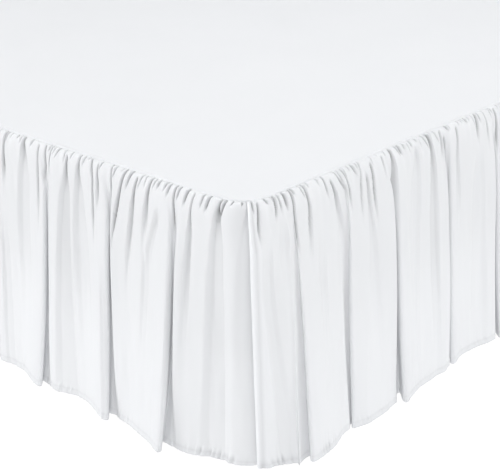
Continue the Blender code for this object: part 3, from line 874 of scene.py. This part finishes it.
def woven_cloth(name, colour, other, thread):
    """A plain weave on the flat cloth's own coordinates, with slubs and faint tone changes.

    Its base colour carries painted shade and highlights from the mesh's crease attribute.
    """
    made = new_material(name, colour, roughness=0.92)
    tree = made.node_tree
    shader = shader_of(made)
    shader.inputs["Sheen Weight"].default_value = 0.12
    shader.inputs["Sheen Roughness"].default_value = 0.5
    shader.inputs["Specular IOR Level"].default_value = 0.25
    place = linked_node(tree, "ShaderNodeUVMap", uv_map="cloth").outputs[0]
    apart = linked_node(tree, "ShaderNodeSeparateXYZ", {0: place}).outputs
    warp, weft = [maths(tree, "SINE", maths(tree, "MULTIPLY", apart[axis], math.pi / thread))
                  for axis in (0, 1)]
    weave = maths(tree, "MULTIPLY", maths(tree, "MULTIPLY", warp, weft), 0.5)
    slubs = noise(tree, place, scale=900.0)
    add_bump(tree, shader, maths(tree, "ADD", weave, slubs), strength=0.12, distance=0.0002)
    tone = mixed_colour(tree, noise(tree, place, scale=7.0, detail=3.0), colour, other)
    # Painted shade: the crease attribute darkens the base colour in creases, stitching and puckers,
    # and where it is below 0 a painted highlight lightens the sides' rolled edges.
    inside = linked_node(tree, "ShaderNodeAttribute", attribute_name="crease").outputs["Fac"]
    left = maths(tree, "SUBTRACT", 1.0, maths(tree, "MULTIPLY", inside, CREASE_SHADE))
    painted_shade_colour = linked_node(tree, "ShaderNodeVectorMath", {0: tone, "Scale": left},
                         operation="SCALE").outputs[0]
    tree.links.new(painted_shade_colour, shader.inputs["Base Color"])
    through = linked_node(tree, "ShaderNodeBsdfTranslucent", {"Color": painted_shade_colour}).outputs[0]
    both = linked_node(tree, "ShaderNodeMixShader", {0: SHINE_THROUGH, 1: shader.outputs[0],
                                                     2: through}).outputs[0]
    tree.links.new(both, tree.nodes["Material Output"].inputs["Surface"])
    return made


# -------- the skirt
def far_edge(top, low, edge):
    """The edge that ends a ruffle: only its places and its offset count."""
    return Fold(top, low, low, edge, *[0] * 9)


def skirt(finish):
    deck(finish)
    foot_end = DECK_WIDTH / MM
    side_end = DECK_LENGTH / MM
    foot_last = far_edge(foot_end - FOOT_FOLDS[0].top, foot_end - FOOT_FOLDS[0].low, SPLIT_EDGE)
    side_last = far_edge(side_end, side_end, HEAD_EDGE)
    corner = (SIDE_SEAM_X, FOOT_SEAM_Y)
    foot = Wall(corner, (-1, 0), (0, -1), DECK_WIDTH, True)
    right = Wall(corner, (0, 1), (1, 0), DECK_LENGTH, False)
    left = Wall((-SIDE_SEAM_X, FOOT_SEAM_Y), (0, 1), (-1, 0), DECK_LENGTH, False)
    foot_folds = more_folds(FOOT_FOLDS, DECK_WIDTH, FOOT_FALL_IN, seed=11)
    right_folds = more_folds(SIDE_FOLDS, DECK_LENGTH, SIDE_FALL_IN, seed=23)
    left_folds = more_folds([LEFT_FIRST_FOLD], DECK_LENGTH, SIDE_FALL_IN, seed=37)
    ruffle("ruffle_foot", Plan(foot, foot_folds, foot_last, FOOT_CREASES, 71), finish)
    ruffle("ruffle_right", Plan(right, right_folds, side_last, SIDE_CREASES, 72), finish)
    ruffle("ruffle_left", Plan(left, left_folds, side_last, [], 73), finish)


# -------- the box spring and its frame
# One pair is one line round the box spring, in millimetres: how far inside the faces, and how
# high above the underside. The name says what covers it from there to the next line.
BoxRow = namedtuple("BoxRow", "inset height cover")
BOX_ROWS = [BoxRow(*pair, cover) for cover, pairs in (
    ("dust", [(720, 2.0), (480, 2.4), (200, 2.0), (60, 1.0), (23, 0.6)]),
    ("cloth", [(22.4, 0.0), (12, 0.0), (5.5, 2.0), (2.2, 6.5), (1.4, 12.5)]),
    ("tape", [(1.5, 13.0), (0.5, 13.5), (0.3, 17.0), (0.5, 20.5)]),
    ("cloth", [(1.5, 21.0), (1.3, 21.8), (0.8, 45.0), (0.2, 80.0), (0.0, 110.0), (0.3, 145.0),
               (1.0, 175.0), (1.5, 187.0)]),
    ("tape", [(1.6, 187.6), (0.8, 188.0), (0.7, 191.5), (0.9, 195.0)]),
    ("cloth", [(1.8, 195.5)]),
) for pair in pairs]
BOX_COVERS = ("cloth", "tape", "dust")
BOX_CORNER = 42  # plan radius
BOX_LEAST_CORNER = 4
BOX_CORNER_STEPS = 8
BOX_SIDE_STEPS = 24
BOX_ROLL = 23  # rounding of its top edge,
BOX_ROLL_INSET = 1.2  # which starts this far inside the faces
BOX_ROLL_STEPS = 8
BOX_TOP_INSETS = (60, 200, 480, 720)


def round_the_box(inset, radius):
    """The plan of a line round the box spring: four rounded corners, with points between them."""
    low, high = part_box("box_spring")
    inset *= MM
    radius *= MM
    low_x, low_y = low[0] + inset + radius, low[1] + inset + radius
    high_x, high_y = high[0] - inset - radius, high[1] - inset - radius
    corners = ((-90, high_x, low_y), (0, high_x, high_y), (90, low_x, high_y), (180, low_x, low_y))
    arcs = []
    for turned, x, y in corners:
        angles = np.radians(np.linspace(turned, turned + 90, BOX_CORNER_STEPS + 1))
        arcs.append(np.stack([x + radius * np.cos(angles), y + radius * np.sin(angles)], axis=1))
    line = []
    for arc, following in zip(arcs, arcs[1:] + arcs[:1]):
        line += [arc[:-1], np.linspace(arc[-1], following[0], BOX_SIDE_STEPS, endpoint=False)]
    return np.concatenate(line)


def box_rows(height):
    """The lines round the box, from the middle of its underside to the middle of its top."""
    rows = list(BOX_ROWS)
    for step in range(BOX_ROLL_STEPS + 1):
        angle = math.pi / 2 * step / BOX_ROLL_STEPS
        rows.append(BoxRow(BOX_ROLL_INSET + BOX_ROLL * (1 - math.cos(angle)),
                           height - BOX_ROLL * (1 - math.sin(angle)), "cloth"))
    return rows + [BoxRow(inset, height, "cloth") for inset in BOX_TOP_INSETS]


def box_spring(covers):
    """An upholstered box: a rolled top edge, taped seams and a dust cover underneath."""
    low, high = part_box("box_spring")
    rows = box_rows((high[2] - low[2]) / MM)
    bm = bmesh.new()
    rings = []
    for row in rows:
        radius = max(BOX_CORNER - row.inset, BOX_LEAST_CORNER)
        rings.append([bm.verts.new((x, y, low[2] + row.height * MM))
                      for x, y in round_the_box(row.inset, radius)])
    for row, ring, following in zip(rows, rings, rings[1:]):
        for side in range(len(ring)):
            beyond = (side + 1) % len(ring)
            face = bm.faces.new((ring[side], ring[beyond], following[beyond], following[side]))
            face.material_index = BOX_COVERS.index(row.cover)
            face.smooth = True
    bm.faces.new(rings[0][::-1]).material_index = BOX_COVERS.index("dust")
    bm.faces.new(rings[-1])
    mesh = bpy.data.meshes.new("box_spring_cover")
    bm.to_mesh(mesh)
    bm.free()
    for cover in BOX_COVERS:
        mesh.materials.append(covers[cover])
    made = add_object("box_spring_cover", mesh)
    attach(made, "root")
    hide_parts("box_spring")


# A finish goes from one colour to the other by the pattern "tone", and has bumps of the pattern
# "height". Both are a function, and what it takes after a node tree and a point's coordinates.
Finish = namedtuple("Finish", "colour other roughness tone height strength distance")


def patterned(name, finish):
    made = new_material(name, finish.colour, finish.roughness)
    tree = made.node_tree
    shader = shader_of(made)
    place = linked_node(tree, "ShaderNodeTexCoord").outputs["Object"]
    tone, height = [pattern(tree, place, *numbers)
                    for pattern, *numbers in (finish.tone, finish.height)]
    colour = mixed_colour(tree, tone, finish.colour, finish.other)
    tree.links.new(colour, shader.inputs["Base Color"])
    add_bump(tree, shader, height, finish.strength, finish.distance)
    return made


def crossed(tree, place, pitch, lean=1.0):
    """A pattern of two sets of slanting lines that cross, which are "pitch" apart."""
    apart = linked_node(tree, "ShaderNodeSeparateXYZ", {0: place}).outputs
    round_it = maths(tree, "ADD", apart[0], apart[1])
    lines = []
    for sign in (-lean, lean):
        slanting = maths(tree, "ADD", round_it, maths(tree, "MULTIPLY", apart[2], sign))
        wave = maths(tree, "SINE", maths(tree, "MULTIPLY", slanting, math.pi / pitch))
        lines.append(maths(tree, "ABSOLUTE", wave))
    return maths(tree, "POWER", maths(tree, "MINIMUM", lines[0], lines[1]), 0.5)


QUILT = (crossed, 0.024)
WEAVE = (crossed, 0.0012, 0.4)
FINISHES = {
    "box_cover_cloth": Finish((0.70, 0.69, 0.65), (0.79, 0.785, 0.75), 0.85, QUILT, QUILT, 0.5, 0.002),
    "box_cover_tape": Finish((0.60, 0.59, 0.55), (0.72, 0.71, 0.67), 0.75, WEAVE, WEAVE, 0.4, 0.0004),
    "dust_cover": Finish((0.10, 0.10, 0.105), (0.16, 0.16, 0.165), 0.9,
                         (noise, 260.0, 5.0), (noise, 900.0, 4.0), 0.4, 0.0005),
    "painted_steel": Finish((0.055, 0.055, 0.06), (0.085, 0.085, 0.09), 0.42,
                            (noise, 35.0, 5.0), (noise, 1400.0), 0.25, 0.0003),
    "black_plastic": Finish((0.018, 0.018, 0.018), (0.035, 0.035, 0.034), 0.55,
                            (noise, 60.0, 4.0), (noise, 2600.0), 0.3, 0.0002),
}


def box_and_frame():
    quilted, tape, dust, steel, plastic = [patterned(*item) for item in FINISHES.items()]
    box_spring({"cloth": quilted, "tape": tape, "dust": dust})
    for node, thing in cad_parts.items():
        if node.startswith(("rail", "cross_bar", "leg", "glide")):
            thing.data.materials.clear()
            thing.data.materials.append(plastic if node.startswith("glide") else steel)


# -------- camera, floor and light
CAMERA_TURN = (0.396, -0.753, -0.020)  # in radians: down, round from +Y, and its tilt
CAMERA_PLACE = (0.935, -0.991, 0.922)  # beyond the corner of the seam, and above the floor
LENS = 85.3
SKY_COLOUR = (0.97, 0.985, 1.0, 1.0)
SKY_STRENGTH = 0.49
FLOOR_GLOW = 0.93
FLOOR_REACH = 60.0

# Square softboxes: where each stands, what it faces, the length of its side, and its power.
Softbox = namedtuple("Softbox", "name location target side power")
SOFTBOXES = [
    Softbox("left_softbox", (-4.8, -5.2, 3.0), (0.1, -1.0, 0.2), 2.8, 240),
    Softbox("right_softbox", (3.9, 2.9, 2.2), (0.8, -0.2, 0.2), 2.0, 87),
    Softbox("front_softbox", (3.6, -3.9, 3.0), (0.7, -0.9, 0.2), 1.6, 82),
    Softbox("top_softbox", (0.5, -0.4, 4.0), (0.3, -0.4, 0.2), 3.0, 72),
]


def camera():
    """Stands beyond the foot's right corner, and looks down at it along the bed's diagonal."""
    down, turn, tilt = CAMERA_TURN
    data = bpy.data.cameras.new("camera")
    data.lens = LENS
    made = add_object("camera", data)
    place = Matrix.Translation(Vector(CAMERA_PLACE) + Vector((SIDE_SEAM_X, FOOT_SEAM_Y, 0.0)))
    level = Matrix.Rotation(-turn, 4, "Z") @ Matrix.Rotation(math.pi / 2 - down, 4, "X")
    made.matrix_world = place @ level @ Matrix.Rotation(tilt, 4, "Z")
    bpy.context.scene.camera = made


def sky():
    world = bpy.data.worlds.new("studio")
    bpy.context.scene.world = world
    world.use_nodes = True
    background = world.node_tree.nodes["Background"]
    background.inputs["Color"].default_value = SKY_COLOUR
    background.inputs["Strength"].default_value = SKY_STRENGTH


def floor():
    finish = new_material("floor", (0.2, 0.2, 0.2), roughness=0.9)
    shader = shader_of(finish)
    shader.inputs["Emission Color"].default_value = (1.0, 1.0, 1.0, 1.0)
    shader.inputs["Emission Strength"].default_value = FLOOR_GLOW
    bm = bmesh.new()
    bmesh.ops.create_grid(bm, x_segments=1, y_segments=1, size=FLOOR_REACH)
    mesh = bpy.data.meshes.new("floor")
    bm.to_mesh(mesh)
    bm.free()
    mesh.materials.append(finish)
    add_object("floor", mesh)


def softbox(box):
    data = bpy.data.lights.new(box.name, "AREA")
    data.size = box.side
    data.energy = box.power
    turn = (Vector(box.target) - Vector(box.location)).to_track_quat("-Z", "Y")
    place = Matrix.Translation(box.location) @ turn.to_matrix().to_4x4()
    add_object(box.name, data).matrix_world = place


def studio():
    sky()
    floor()
    for box in SOFTBOXES:
        softbox(box)
    bpy.context.scene.view_settings.view_transform = "Standard"


def main():
    camera()
    studio()
    skirt(woven_cloth("white_cloth", (0.79, 0.797, 0.812), (0.77, 0.779, 0.796), thread=0.0005))
    box_and_frame()


main()
